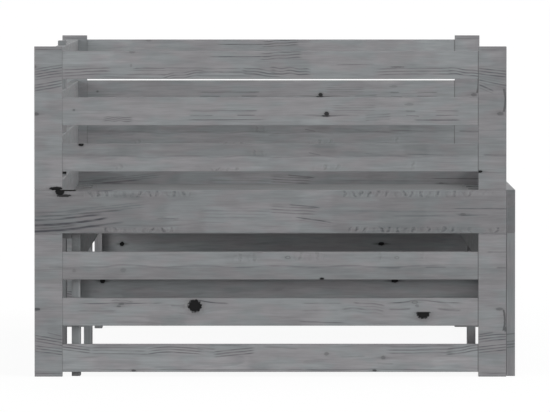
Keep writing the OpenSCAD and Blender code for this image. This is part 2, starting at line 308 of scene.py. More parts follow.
def make_grain_group():
    """Year rings cut by the saw, with fibre streaks, pores and the slow drift of the stain."""
    sizes = {"Heart": (0.0, -60.0, 0.0), "Ring_Width": 3.5, "Waver": 24.0}
    place, heart, ring_w, waver = new_group("pine grain", Place=VECTOR, **sizes)
    sway = (noise(place, (0.0032, 0.008, 0.011), 3.0, 0.45) - 0.5) * waver
    off = (place - heart) * (0.035, 1.0, 1.0)
    ring = (add("ShaderNodeVectorMath", off, out="Value", operation="LENGTH") + sway) / ring_w
    year = calc("FRACT", ring)
    strength = calc("POWER", by_chance(calc("FLOOR", ring)), 3.0)
    gaps = ramp(noise(place, (0.011, 0.05, 0.09)), 0.36, 0.66)
    late = ramp(year, 0.35, 0.86) * fall(year, 0.9, 0.99) * scaled(strength, 0.85, 0.15) * gaps
    fibre = noise(place, (0.02, 0.5, 0.62), 3.0, 0.6)
    streak = noise(place, (0.011, 0.06, 0.15), 3.0, 0.55)
    cloud = noise(place, (0.012, 0.008, 0.05), 3.0)
    tint = noise(place + (310.0, 17.0, 53.0), (0.012, 0.009, 0.035))
    height = scaled(fibre, 0.5, late * -0.6)
    return hand_over(Late=late, Tone=(streak + cloud) * 0.5, Fibre=fibre, Tint=tint, Height=height)


def make_edge_group():
    """How near a point is to a board's edge, where sanding and hands take the stain away."""
    place, from_middle, half_size, width = new_group(
        "board edges", Place=VECTOR, From_Middle=VECTOR, Half_Size=VECTOR, Width=2.2
    )
    x, y, z = parts(half_size - abs(from_middle))
    edge = larger(smaller(x, y), smaller(larger(x, y), z))
    worn = fall(edge / (width * (noise(place, 0.07, 3.0) + 0.35)), 0.0, 1.0)
    return hand_over(Worn=worn, End=fall(x, 0.2, 0.6), Joint=fall(x, 0.9, 2.3))


KNOT = make_knot_group()
BAND = make_band_group()
PATCH = make_patch_group()
RIPPLES = make_ripple_group()
STREAK = make_streak_group()
GRAIN = make_grain_group()
EDGES = make_edge_group()

warm_tint = srgb(192, 187, 188)
cool_tint = srgb(184, 191, 191)
latewood_grey = srgb(92, 92, 96)
band_grey = srgb(68, 68, 73)
knot_black = srgb(12, 12, 13)
sawn_grey = srgb(90, 91, 93)
# The colour of the dark joint lines. At the boards' front ends these are also a painted shadow of the
# post beside them.
joint_and_shadow_grey = srgb(46, 46, 49)
worn_grey = srgb(150, 150, 151)


def new_finish(name):
    """A new material, its tree and its shader."""
    material = bpy.data.materials.new(name)
    material.use_nodes = True
    return material, material.node_tree, material.node_tree.nodes["Principled BSDF"]


def relief(height, depth, strength=1.0):
    """A surface whose height of 0 to 1 stands for a depth in metres."""
    return add("ShaderNodeBump", Strength=strength, Distance=depth, Height=height)


def stained_pine(
    name,
    light=(136, 137, 138.5),
    deep=(122, 122.5, 124.5),
    paler=0,
    heart=(0.0, -60.0, 0.0),
    ring=3.5,
    inside_painted_paler=0.25,
    joint_dark=0.0,
    knots=(),
    bands=(),
    patches=(),
    ripples=(),
    streaks=(),
    side_bands=(),
):
    """Pine under a thin grey stain. What marks the board is given where it lies, in millimetres:
    each mark is a row of numbers, which the loops below name."""
    material, tree, shader = new_finish(name)
    light, deep = (srgb(*(c + paler for c in chart)) for chart in (light, deep))
    place, middle, half_size = (
        add("ShaderNodeAttribute", tree=tree, out="Vector", attribute_name=title)
        for title in ("grain", "middle", "half_size")
    )
    black = bend = dark = add("ShaderNodeValue", tree=tree)
    level = 1.0
    for x, z, half_l, half_h, tail, strength, *form in knots:
        eye, push = use_group(KNOT, place, (x, 0.0, z), half_l, half_h, tail, *form)
        black = larger(eye * strength, black)
        bend = push + bend
    bent = place + joined(0.0, 0.0, bend)
    for x, z, half_h, bow, half_w, strength in streaks:
        (bark,) = use_group(STREAK, place, (x, 0.0, z), half_h, bow, half_w)
        black = larger(bark * strength, black)
    for start, end, height, rise, spread, spacing, strength, *form in bands:
        (lines,) = use_group(BAND, bent, start, end, height, rise, spread, spacing, *form)
        dark = larger(lines * strength, dark)
    if side_bands:
        x, y, z = parts(place)
        turned = joined(y, 0.0, x)
        facing = parts(add("ShaderNodeNewGeometry", tree=tree, out="Normal"))[1]
        sideways = ramp(abs(facing), 0.7, 0.9)
    for *values, strength in side_bands:
        (lines,) = use_group(BAND, turned, *values)
        dark = larger(lines * (sideways * strength), dark)
    for *values, strength in ripples:
        (hooks,) = use_group(RIPPLES, place, *values)
        level = level - hooks * (0.5 * strength)
    for x, z, half_l, half_h, strength in patches:
        (mask,) = use_group(PATCH, place, (x, 0.0, z), half_l, half_h)
        level = level - mask * strength
    late, tone, fibre, tint, height = use_group(GRAIN, bent, heart, ring)
    worn, sawn, joint = use_group(EDGES, place, middle, half_size)
    x, y, z = parts(middle)
    # Faces towards the bed's inside are painted paler: painted light that makes up for the shade inside
    # the bed.
    inside_painted_light = ramp(y, 4.0, 8.0, 1.0, 1.0 + inside_painted_paler)
    level = level * ramp(fibre, 0.3, 0.7, 0.972, 1.097) * inside_painted_light
    tint = blend_colours(ramp(tint, 0.4, 0.6), warm_tint, cool_tint)
    colour = blend_colours(ramp(tone, 0.3, 0.7), deep, light)
    colour = blend_colours(0.45, colour, tint, "OVERLAY")
    colour = blend_colours(1.0, colour, joined(level, level, level), "MULTIPLY")
    for share, stain in (
        (late * 0.3, latewood_grey),
        (dark * 0.72, band_grey),
        (black, knot_black),
        (sawn * 0.3, sawn_grey),
        # A dark joint line at each end, darker at the front end, where it is also a painted shadow cast
        # by the post.
        (joint * ramp(x, -1.0, 1.0, 0.3 * joint_dark, joint_dark), joint_and_shadow_grey),
        (worn * scaled(black, -0.22, 0.22), worn_grey),
    ):
        colour = blend_colours(share, colour, stain)
    feed(
        shader,
        Base_Color=colour,
        Roughness=scaled(fibre, 0.16, 0.56) - worn * 0.06,
        Specular_IOR_Level=0.15,
        Normal=relief(height - black * 0.4, 0.0004, 0.6),
    )
    return material


MM = 1000.0
TINY = 1e-6
ALONG_X = (0, 1, 2)
ALONG_Y = (1, 0, 2)
ALONG_Z = (2, 0, 1)
long_edge_ease = 0.0014
end_ease = 0.0006


def mark_grain(mesh, low, high, axes, start):
    """Writes each corner's place in the plank, and in the board, in millimetres, to draw the wood by.
    axes are the numbers of the axes along the grain, through the board and across it. Through the
    board is counted towards the bed's inside, whose faces are painted paler as painted light."""
    middle = (low + high) / 2
    half = (high - low) / 2
    inward = -1 if middle[axes[1]] > 0 else 1
    rows = {"grain": [], "middle": [], "half_size": []}
    for vertex in mesh.vertices:
        rows["grain"].extend(MM * (vertex.co[a] - start[a]) for a in axes)
        off = [MM * (vertex.co[a] - middle[a]) for a in axes]
        rows["middle"].extend((off[0], inward * off[1], off[2]))
        rows["half_size"].extend(MM * half[a] for a in axes)
    for name, values in rows.items():
        mesh.attributes.new(name, "FLOAT_VECTOR", "POINT").data.foreach_set("vector", values)


def into_scene(name, data):
    """A new object in the scene, at the origin."""
    thing = bpy.data.objects.new(name, data)
    bpy.context.scene.collection.objects.link(thing)
    return thing


def stand_in(name, mesh, body, node):
    """Puts a finished mesh in the place of a CAD node."""
    piece = into_scene(name, mesh)
    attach(piece, body)
    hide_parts(node)


def as_mesh(thing):
    """An object's shape after its modifiers, as a plain mesh."""
    bpy.context.view_layer.update()
    return bpy.data.meshes.new_from_object(thing.evaluated_get(bpy.context.evaluated_depsgraph_get()))


def drilled(mesh, sinks, head_radius):
    """The mesh with a countersink at each point, which opens in the direction given."""
    shape = {
        "segments": 20,
        "radius1": 0.5 * head_radius,
        "radius2": 1.2 * head_radius,
        "depth": 1.2 * head_radius,
    }
    sunk = Matrix.Translation((0.0, 0.0, -0.49 * head_radius))
    cones = bmesh.new()
    for point, out in sinks:
        turn = Vector(out).to_track_quat("Z", "Y").to_matrix().to_4x4()
        place = Matrix.Translation(Vector(point)) @ turn @ sunk
        bmesh.ops.create_cone(cones, cap_ends=True, matrix=place, **shape)
    cutter = into_scene("countersinks", bpy.data.meshes.new("countersinks"))
    cones.to_mesh(cutter.data)
    cones.free()
    plain = into_scene("undrilled", mesh)
    cut = plain.modifiers.new("countersinks", "BOOLEAN")
    cut.object = cutter
    cut.solver = "EXACT"
    result = as_mesh(plain)
    result.name = mesh.name + "_drilled"
    for thing in (plain, cutter):
        bpy.data.objects.remove(thing)
    return result


def finish_board(node, bm, material, axes, start, sinks=(), head_radius=0.0):
    """Marks the grain on a board's shape and puts it in the CAD board's place."""
    low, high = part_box(node)
    bmesh.ops.recalc_face_normals(bm, faces=bm.faces)
    mesh = bpy.data.meshes.new(node + "_board")
    bm.to_mesh(mesh)
    bm.free()
    if sinks:
        mesh = drilled(mesh, sinks, head_radius)
    mark_grain(mesh, low, high, axes, start or low)
    mesh.materials.append(material)
    stand_in(node + "_board", mesh, frame["nodes"][node]["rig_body"], node)


def bevel(bm, edges, offset, segments):
    bmesh.ops.bevel(bm, geom=edges, offset=offset, segments=segments, profile=0.5, affect="EDGES")


def eased_board(node, material, axes, start=None, sinks=(), head_radius=0.0):
    """A planed board in a CAD board's place: long edges eased with sandpaper, ends sawn. start is
    where the grain of its plank is counted from, or else the board's own corner."""
    low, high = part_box(node)
    bm = bmesh.new()
    bmesh.ops.create_cube(bm, size=1.0)
    for vertex in bm.verts:
        vertex.co = Vector(low[i] if vertex.co[i] < 0 else high[i] for i in range(3))
    along = axes[0]
    long_edges = [e for e in bm.edges if abs(e.verts[0].co[along] - e.verts[1].co[along]) > TINY]
    bevel(bm, long_edges, long_edge_ease, 3)
    ends = (low[along], high[along])
    rims = [e for e in bm.edges if min(sum(abs(v.co[along] - x) for v in e.verts) for x in ends) < TINY]
    bevel(bm, rims, end_ease, 2)
    finish_board(node, bm, material, axes, start, sinks, head_radius)


def panel_board(name, **wood):
    """The same board in both end panels."""
    finish = stained_pine("grey pine " + name.replace("_", " "), **wood)
    for side in ("left", "right"):
        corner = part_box(f"{side}_rail")[0]
        eased_board(f"{side}_{name}", finish, ALONG_X, (corner.x, corner.y, 0.0))


panel_board(
    "arm_slat_3",
    paler=3,
    heart=(500, -90, 650),
    ring=4.0,
    joint_dark=0.6,
    knots=[
        (207, 688, 7.2, 2.8, 0.4, 0.28), (205, 659.5, 2.8, 3.4, 0.3, 0.22),
        (768, 656.5, 16.9, 1.3, 0.4, 0.5),
    ],
    bands=[
        (54, 165, 642.5, 5.3, 10.2, 6.1, 0.8, 1.3), (207, 283, 654, -0.4, 5.5, 5.3, 0.8),
        (105, 304, 642, -1.1, 1.5, 8.5, 0.6), (139, 287, 637.5, -4.2, 2.1, 6.4, 0.6, -2.1),
        (224, 457, 655, -1.7, 1.5, 6.4, 0.5), (266, 364, 634, 11.6, 7.2, 5.7, 0.95, 0, 1.1, 47),
        (342, 470, 646.5, -2.1, 10.6, 8.3, 0.6), (436, 525, 649.5, -8.9, 8.5, 5.9, 1, 0, 0.8, 51),
        (495, 588, 648.5, -4.2, 11, 5.9, 1, 1.7, 1.1, 38),
        (474, 571, 677, 5.3, 10.6, 6.1, 0.8, 1.3, 0.6, 42), (368, 491, 678.5, -0.6, 1.3, 8.5, 1),
        (635, 724, 661, 1.3, 1.5, 8.5, 0.5), (715, 902, 645.5, 1.3, 11, 6.1, 0.7, 1.3),
        (872, 948, 649.5, -8.9, 9.7, 5.9, 1, 0, 0.6, 42), (59, 304, 690.5, 0.8, 1.3, 8.5, 0.4),
    ],
    patches=[
        (112, 676, 53, 14, -0.11), (167, 674, 28, 10, -0.05), (324, 672, 48, 16, 0.045),
        (526, 666, 58, 35, 0.06), (775, 675, 32, 17, 0.05), (895, 672, 44, 14, -0.06),
        (414, 645, 42, 13, -0.03), (243, 659, 44, 7, -0.03),
    ],
)
panel_board(
    "rear_arm_post",
    heart=(30, -80, 550),
    ring=4.0,
    knots=[(1, 657, 4.2, 3.2, 0.3, 0.35), (4, 557, 6.4, 3.4, 0.5, 0.5), (46, 399, 14.8, 4.2, 0.1, 1)],
    bands=[
        (-3, 67, 640, 9.5, 14.8, 5.7, 0.95, 1.1), (-3, 63, 611.5, 11.6, 10.6, 5.9, 0.95),
        (-3, 63, 693, 0, 1.3, 8.5, 0.7),
    ],
    patches=[
        (14, 675, 15, 13, -0.07), (40, 678, 15, 10, -0.08), (13, 583, 14, 18, -0.06),
        (12, 492, 13, 16, 0.06), (44, 474, 15, 6, 0.06), (47, 430, 14, 29, -0.08),
        (45, 576, 16, 15, 0.05), (13, 401, 14, 3, 0.05),
    ],
)
panel_board(
    "front_arm_post",
    paler=-4,
    heart=(900, -70, 600),
    ring=4.0,
    knots=[(987, 558, 7.2, 4, 0.3, 0.4), (944, 435, 5.9, 2.8, 0.4, 1)],
    bands=[
        (935, 1008, 648.5, -8.5, 12.3, 5.9, 1), (935, 1008, 629.5, -13.8, 6.4, 5.9, 0.9),
        (940, 974, 619, -13.8, 7.2, 7.2, 1), (940, 1008, 693, 0, 1.3, 8.5, 0.5),
        (948, 1008, 469.5, 0, 2.5, 6.4, 0.8), (940, 1008, 433, 1.3, 1.3, 6.4, 0.4),
    ],
    patches=[
        (968, 676, 24, 14, -0.05), (955, 672, 15, 14, -0.07), (983, 596, 5, 10, -0.09),
        (976, 480, 19, 11, 0.07), (969, 432, 28, 28, -0.045), (986, 518, 11, 17, -0.03),
    ],
    streaks=[(998, 586, 25.4, -4.2, 2.8, 0.5)],
)
panel_board(
    "arm_slat_2",
    paler=3,
    heart=(300, -50, 500),
    ring=4.2,
    joint_dark=0.6,
    knots=[
        (619, 557.5, 5.3, 4.9, 0.1, 0.9), (617, 553, 10.2, 2.1, 0.4, 0.8),
        (84, 565.5, 3, 2.3, 0.4, 0.5), (794, 577.5, 10.6, 2.8, 0.3, 0.25),
    ],
    bands=[
        (143, 211, 546.5, -1.7, 5.9, 4, 1, 0, 0.6, 25), (313, 495, 545, 0, 1.3, 8.5, 0.85),
        (800, 906, 545, -0.6, 1.5, 8.5, 1), (317, 478, 564, -0.4, 1.3, 8.5, 0.5),
        (326, 381, 554, 0, 1.5, 8.5, 0.7), (427, 470, 554.5, 0, 1.5, 8.5, 0.7),
        (436, 474, 564, 0, 1.5, 8.5, 0.7), (563, 694, 555, -1.3, 1.5, 8.5, 0.45),
        (626, 728, 569, 1.1, 13.8, 5.5, 0.42), (698, 758, 549, 2.5, 9.3, 5.5, 0.55),
        (847, 902, 564, -0.4, 1.3, 8.5, 0.8), (847, 902, 554.5, -0.4, 1.3, 8.5, 0.7),
        (785, 817, 555, -2.1, 1.5, 8.5, 0.6), (785, 808, 563.5, 0, 1.9, 8.5, 0.6),
        (76, 245, 565.5, -3.2, 1.5, 8.5, 0.25),
    ],
    patches=[
        (70, 576, 12, 15, 0.06), (281, 579, 32, 10, 0.06), (196, 578, 19, 4, 0.04),
        (135, 555, 30, 5, -0.05), (237, 549, 34, 16, -0.05), (510, 576, 15, 15, 0.035),
        (584, 541, 21, 7, -0.08), (915, 560, 24, 26, 0.03), (723, 580, 20, 11, 0.03),
    ],
)
panel_board(
    "arm_slat_1",
    heart=(600, -80, 470),
    ring=5.0,
    joint_dark=0.6,
    knots=[(99, 492.5, 6.1, 4.7, 0.1, 1)],
    bands=[
        (54, 944, 466.5, 0, 2.3, 8.5, 0.32, 0, 1.9, 140), (694, 783, 473, -5.5, 2.1, 5.5, 0.5),
        (783, 872, 471.5, -2.1, 2.5, 5.5, 0.5), (580, 609, 475, -6.4, 1.7, 5.5, 0.8),
    ],
    patches=[
        (499, 483, 445, 16, 0.17), (188, 480, 11, 13, 0.07), (616, 489, 23, 17, 0.09),
        (807, 480, 26, 13, 0.09), (467, 477, 19, 12, 0.06), (245, 480, 21, 13, -0.04),
        (129, 480, 21, 8, -0.04), (697, 482, 18, 4, -0.06), (112, 450, 49, 10, -0.05),
        (250, 451, 26, 13, -0.04), (470, 444, 17, 6, -0.05), (329, 446, 14, 4, -0.05),
        (641, 459, 15, 6, -0.03),
    ],
    ripples=[
        (165, 203, 444, 6.4, 12.7, 0.35), (368, 444, 440, 4.2, 19.1, 0.5),
        (584, 660, 444, 6.4, 27.5, 0.45), (783, 817, 448.5, 9.5, 16.9, 0.4),
        (453, 495, 474, 7.2, 14.8, 0.35),
    ],
)
panel_board(
    "rail",
    paler=-5,
    heart=(400, -60, 360),
    ring=4.5,
    knots=[
        (46, 399, 14.8, 4.2, 0.1, 1), (54, 393.5, 10.6, 10.2, 0, 1), (73, 395, 19.1, 1.7, 0.3, 1),
        (62, 384, 16.9, 3.2, 0.3, 0.9), (908, 344.5, 6.8, 2.5, 0.6, 0.35),
    ],
    bands=[
        (-13, 198, 339.5, 15.9, 2.5, 10.6, 0.8, -1.7), (-22, 148, 332, 13.8, 2.8, 10.6, 1.15, -2.5),
        (-22, 165, 321, 18, 3.6, 10.6, 1.6, -4.7), (-30, 152, 307, 15.9, 3.8, 10.6, 1.5, -3.4),
        (105, 194, 318.5, 10.6, 2.5, 10.6, 0.8, -0.8), (-13, 93, 314, 8.5, 2.1, 10.6, 0.7, -1.7),
        (-13, 139, 347.5, 10.6, 1.9, 10.6, 0.6, -1.1), (54, 245, 347, 19.1, 8.5, 5.3, 0.5),
        (256, 309, 336, -0.6, 3.6, 3.4, 1, 0, 0.6, 19), (88, 173, 395, 0, 1.7, 8.5, 0.8),
        (495, 601, 355.5, -5.3, 10.6, 6.4, 0.65), (537, 609, 365.5, -7.4, 5.1, 5.9, 1),
        (550, 635, 338.5, -11.6, 5.5, 5.9, 1.1), (342, 510, 345.5, -2.1, 10.6, 7.2, 0.35),
        (749, 902, 340.5, 1.1, 5.1, 7.2, 0.5), (880, 1024, 357, -1.3, 3, 4.7, 1),
        (893, 965, 343.5, -0.8, 3, 4.7, 0.9), (647, 944, 351, -0.4, 1.5, 8.5, 0.35),
        (-3, 1029, 305.5, 0, 1.5, 8.5, 0.5), (-3, 63, 362, 1.1, 6.4, 6.4, 0.3),
    ],
    patches=[
        (82, 342, 83, 37, 0.08), (82, 351, 83, 47, 0.04), (196, 352, 32, 33, 0.12),
        (254, 342, 25, 37, 0.07), (315, 347, 36, 13, -0.05), (330, 319, 30, 15, 0.04),
        (461, 333, 102, 29, -0.11), (406, 370, 25, 13, 0.05), (597, 381, 34, 13, -0.09),
        (537, 376, 34, 15, 0.04), (681, 345, 51, 38, 0.06), (779, 343, 47, 36, 0.15),
        (912, 345, 87, 38, 0.09), (472, 314, 472, 10, 0.04), (531, 395, 95, 1, -0.06),
        (599, 318, 32, 14, -0.07), (783, 312, 220, 7, 0.05), (217, 388, 125, 10, 0.08),
        (794, 388, 150, 10, 0.045), (154, 314, 155, 10, 0.05), (12, 330, 13, 19, 0.06),
        (772, 385, 19, 8, 0.05),
    ],
    ripples=[
        (97, 336, 387.5, 6.8, 18, 0.75), (647, 935, 387.5, 7.2, 18, 0.75),
        (135, 309, 311, 5.9, 20.1, 0.7), (660, 935, 311.5, 6.8, 16.9, 0.75),
        (950, 993, 310, 6.4, 19.1, 0.8), (944, 976, 391.5, 5.5, 16.9, 0.9),
    ],
)
panel_board(
    "lower_slat_3",
    paler=1,
    heart=(500, -90, 220),
    ring=5.0,
    joint_dark=0.6,
    knots=[
        (609, 207.5, 5.1, 3, 0, 1), (84, 225, 4.2, 3.8, 0, 0.2), (188, 226, 6.4, 5.1, 0.2, 0.2),
        (537, 253, 6.4, 3.4, 0.2, 0.4, 0.9), (768, 252.5, 5.5, 3, 0.2, 0.3, 0.9),
    ],
    bands=[
        (54, 944, 233.5, 0, 2.8, 8.5, 0.5, 0, 1.7, 157), (724, 779, 231, -0.6, 1.7, 8.5, 0.6),
        (825, 876, 232, 0, 1.7, 8.5, 0.6), (453, 486, 262.5, 0, 1.7, 6.4, 0.4),
    ],
    patches=[
        (499, 218, 449, 15, 0.15), (181, 251, 85, 11, -0.03), (303, 249, 48, 11, -0.03),
        (443, 248, 39, 16, 0.03), (499, 256, 25, 8, -0.05), (899, 251, 40, 13, -0.04),
        (762, 224, 13, 11, 0.06), (804, 220, 21, 11, 0.05), (681, 219, 25, 12, 0.03),
        (298, 219, 32, 12, 0.03), (135, 221, 13, 10, -0.04), (165, 219, 17, 12, 0.03),
    ],
    ripples=[
        (410, 482, 251.5, 10.6, 14.8, 0.35), (533, 618, 255.5, 9.5, 16.9, 0.4),
        (724, 741, 253.5, 11.6, 14.8, 0.5), (813, 838, 258, 8.5, 14.8, 0.4),
        (842, 851, 228, 10.6, 6.4, 0.4),
    ],
)
panel_board(
    "lower_slat_2",
    paler=4,
    heart=(200, -50, 150),
    ring=4.0,
    joint_dark=0.6,
    knots=[
        (340, 150, 15.5, 14.8, 0.05, 1), (824, 136.5, 15.2, 14.8, 0, 1, 0, 0.1),
        (184, 154.5, 7.2, 2.5, 0.6, 0.5), (179, 149.5, 5.1, 1.9, 0.5, 0.45),
        (806, 158, 7.2, 3.4, 0.5, 0.45, 0.8), (811, 150.5, 4.2, 3, 0.4, 0.35),
    ],
    bands=[
        (84, 283, 155.5, -0.6, 1.3, 8.5, 0.85), (342, 414, 155, -0.4, 1.5, 8.5, 1.1),
        (563, 656, 155.5, 0, 1.3, 8.5, 0.8), (741, 914, 155.5, -0.4, 1.4, 8.5, 1.05),
        (88, 177, 140.5, -0.6, 5.1, 7.2, 0.45), (160, 211, 161.5, -3.2, 5.1, 5.1, 0.6, 0, 0.8, 21),
        (673, 745, 157, -7.2, 7.2, 6.8, 0.7, 0, 1.1, 64),
        (647, 745, 143.5, -6.4, 7.2, 7.2, 0.65, 2.1, 1.1, 51), (563, 647, 140.5, -0.6, 5.3, 7.2, 0.4),
        (749, 800, 141.5, -0.6, 5.3, 7.6, 0.6), (851, 906, 140.5, -0.6, 5.3, 7.6, 0.65),
        (554, 660, 116.5, -1.3, 1.5, 8.5, 0.8), (287, 321, 150, -0.6, 1.5, 8.5, 0.4),
        (54, 944, 165.5, 0, 1.3, 8.5, 0.3),
    ],
    patches=[
        (281, 119, 40, 12, 0.09), (489, 118, 74, 11, 0.08), (313, 148, 8, 17, 0.05),
        (58, 127, 29, 6, 0.05), (631, 133, 25, 17, -0.05), (793, 120, 14, 8, 0.05),
        (925, 121, 19, 12, 0.06), (463, 143, 19, 6, 0.05),
    ],
)
panel_board(
    "lower_slat_1",
    paler=9,
    heart=(600, -60, 30),
    ring=4.0,
    joint_dark=0.6,
    knots=[
        (210, 13, 4.9, 2.5, 0.3, 0.7), (721, 13, 4.9, 2.5, 0.3, 0.75), (619, 48.5, 5.1, 3.8, 0.4, 0.4),
        (739, 40.5, 5.1, 4, 0.4, 0.35),
    ],
    bands=[
        (54, 122, 64, -8.5, 8, 5.7, 1), (114, 249, 55.5, -1.7, 10.2, 6.8, 0.6),
        (232, 364, 52, -1.1, 9.7, 5.5, 0.95, 5.5), (342, 385, 62, -4.2, 8.5, 6.8, 0.5),
        (376, 470, 47, 9.5, 8.5, 5.7, 0.95), (114, 266, 66, -1.3, 1.3, 8.5, 0.5),
        (364, 461, 66.5, -0.4, 1.5, 8.5, 0.6), (482, 563, 64, -5.3, 1.7, 8.5, 0.4),
        (647, 775, 65, 0, 1.5, 8.5, 0.4), (741, 897, 55.5, 3, 10.2, 7.2, 0.75),
        (868, 952, 51.5, 11.6, 9.7, 5.7, 1, 0, 0.6, 51), (54, 944, 15, 0, 1.3, 8.5, 0.65, 0, 0.3, 106),
        (647, 703, 42.5, 0, 1.5, 8.5, 0.4), (724, 762, 29, -2.1, 2.5, 5.5, 0.5),
    ],
    patches=[
        (93, 29, 34, 11, -0.09), (273, 30, 49, 14, -0.07), (385, 29, 68, 13, -0.1),
        (476, 29, 19, 15, 0.07), (508, 38, 13, 11, 0.06), (893, 28, 51, 14, -0.1),
    ],
)
panel_board(
    "rear_leg",
    heart=(30, -80, 100),
    ring=4.0,
    knots=[(5, 143, 7.2, 3.2, 0.3, 0.65)],
    bands=[
        (-3, 67, 82, -11.6, 11.9, 5.9, 1), (-3, 67, 60, -8.5, 11, 5.9, 0.9),
        (25, 67, 93.5, -10.6, 5.5, 5.5, 0.7), (-3, 63, 7, 0, 1.7, 8.5, 0.7),
        (-3, 63, 301.5, 0, 1.5, 8.5, 0.6), (29, 63, 231.5, 0, 1.7, 8.5, 0.4),
    ],
    patches=[
        (30, 213, 31, 17, 0.1), (14, 174, 15, 22, -0.03), (47, 249, 14, 15, -0.04),
        (43, 125, 20, 10, 0.04), (45, 179, 16, 17, -0.03), (29, 27, 30, 15, -0.07),
        (25, 114, 8, 11, -0.04),
    ],
)
panel_board(
    "front_leg",
    heart=(900, -70, 200),
    ring=4.0,
    knots=[(985, 143.5, 8, 3.2, 0.1, 0.42), (998, 101, 2.8, 5.5, 0, 0.6)],
    bands=[
        (935, 1012, 78, 9.5, 9.7, 5.9, 1), (935, 1012, 55.5, 8.5, 11.4, 5.9, 0.95),
        (940, 974, 88.5, 5.3, 3.4, 6.4, 0.9), (940, 1008, 7, 0, 1.7, 8.5, 0.6),
        (957, 1012, 264, 0, 2.1, 8.5, 0.5), (978, 1012, 231.5, -0.6, 3, 8.5, 0.6),
        (940, 1012, 301.5, 0, 1.5, 8.5, 0.5),
    ],
    patches=[
        (970, 214, 29, 18, 0.08), (961, 249, 19, 15, -0.05), (980, 269, 19, 7, 0.05),
        (969, 114, 17, 19, -0.05), (970, 27, 29, 15, -0.05), (955, 29, 15, 11, -0.07),
        (982, 199, 17, 28, 0.04),
    ],
    streaks=[(997, 120, 23.3, -3.4, 2.5, 0.6)],
)

# Back panel: a full-height post in the middle, and wide rails and slats dowelled between it and
# the end panels. Same grey-stained pine, with the grain along each board.
back_pines = [
    stained_pine(
        f"grey pine back {i}",
        heart=(400 * i, -50 - 20 * i, 20 + 11 * i),
        ring=4 + 0.4 * i,
        inside_painted_paler=0.0,
        knots=[
            (210 + 370 * i, 12 + 13 * i, 6, 4, 0.4, 1),
            (740 - 80 * i, 47 - 10 * i, 4, 3, 0.6, 0.7),
        ],
    )
    for i in range(3)
]
rail_offcut = Vector((0.0, 0.3, 0.02))
for n, side in enumerate(("left", "right")):
    for row in (1, 2, 3):
        eased_board(f"back_slat_{side}_{row}", back_pines[(row + n) % 3], ALONG_Y)
    rail = f"back_rail_{side}"
    eased_board(rail, back_pines[n + 1], ALONG_Y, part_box(rail)[0] - rail_offcut)
mid_post_pine = stained_pine(
    "grey pine middle post",
    heart=(300, -60, 50),
    inside_painted_paler=0.0,
    knots=[(404, 1, 5, 4, 0, 1), (640, 40, 5, 3, 0.4, 0.7)],
)
eased_board("back_mid_post", mid_post_pine, ALONG_Z)

# Pull-out front: a wide board over three legs, with three slats between each two legs.
# It closes off the bed's front edge and is dowelled like the end panels.
# The front boards are painted ten levels paler than the end panels' pine: painted light that makes up
# for the end panels' shade on the pull-out front, which stands back behind their edge. The rear legs
# take these paler finishes too.
front_pines = [
    stained_pine(
        f"grey pine front {i}",
        paler=10,
        heart=(700 - 300 * i, -60 - 15 * i, 50 + 9 * i),
        ring=4.4 - 0.3 * i,
        knots=[
            (330 + 290 * i, 41 - 12 * i, 7, 5, 0.3, 1),
            (620 + 160 * i, 18 + 9 * i, 4, 3, 0.5, 0.7),
        ],
    )
    for i in range(3)
]
eased_board("pullout_front_board", front_pines[0], ALONG_Y)
for n, side in enumerate(("left", "right")):
    for row in (1, 2, 3):
        eased_board(f"pullout_front_slat_{side}_{row}", front_pines[(row + n) % 3], ALONG_Y)
# The front legs are painted fifteen levels paler: painted light, as for the front boards.
front_leg_pine = stained_pine(
    "grey pine front legs",
    paler=15,
    heart=(-200, -75, 59),
    patches=[(25, 9, 25, 40, -0.06)],
    knots=[(163, 20, 5, 4, 0.4, 1)],
    side_bands=[(-40, 60, 62, 11, 10, 5.9, 0.8), (-40, 60, 84, 11, 5, 5.9, 0.7)],
)


def legs(row, pines, offcut):
    """Three legs, each cut further along its plank than the last."""
    for n, side in enumerate(("left", "mid", "right")):
        leg = f"pullout_{row}_leg_{side}"
        eased_board(leg, pines[n], ALONG_Z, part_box(leg)[0] - Vector((0, 0, offcut * n)))


legs("front", [front_leg_pine] * 3, 0.1)

# Pull-out rear frame: three legs under a low rail, tied to the front legs by an end board on
# each side. These run behind the lower slats of the end panels and show through their gaps.
tie_pine = stained_pine(
    "grey pine tie",
    heart=(500, -70, 40),
    ring=4.5,
    knots=[(46.8, 58.3, 6, 5.5, 0.6, 1), (668, 58.5, 8, 4.5, 0.6, 1)],
)
for side in ("left", "right"):
    eased_board(f"pullout_end_board_{side}", tie_pine, ALONG_X)
legs("rear", front_pines[::-1], 0.13)

# Bed base: a square batten along the back, a rail with its middle leg inside the front, and the
# pull-out's own low rail and batten. The two rails are cut down 1.5 mm where the other frame's
# slats pass. All are sawn pine under a thinner coat of the same stain.
deck_slat_w = 0.059
deck_pitch = 0.156
notch_depth = 0.0015
notch_w = deck_slat_w + 0.01
sawn_edge_ease = 0.0004
deck_stain = {"light": (129, 130, 131), "deep": (110, 111, 112), "inside_painted_paler": 0.0}
base_pine = stained_pine("deck pine boards", heart=(400, -50, 30), ring=5.0, **deck_stain)


def slat_middles(count):
    """Where the middles of a deck's slats lie across the bed."""
    return [(i - (count - 1) / 2) * deck_pitch for i in range(count)]


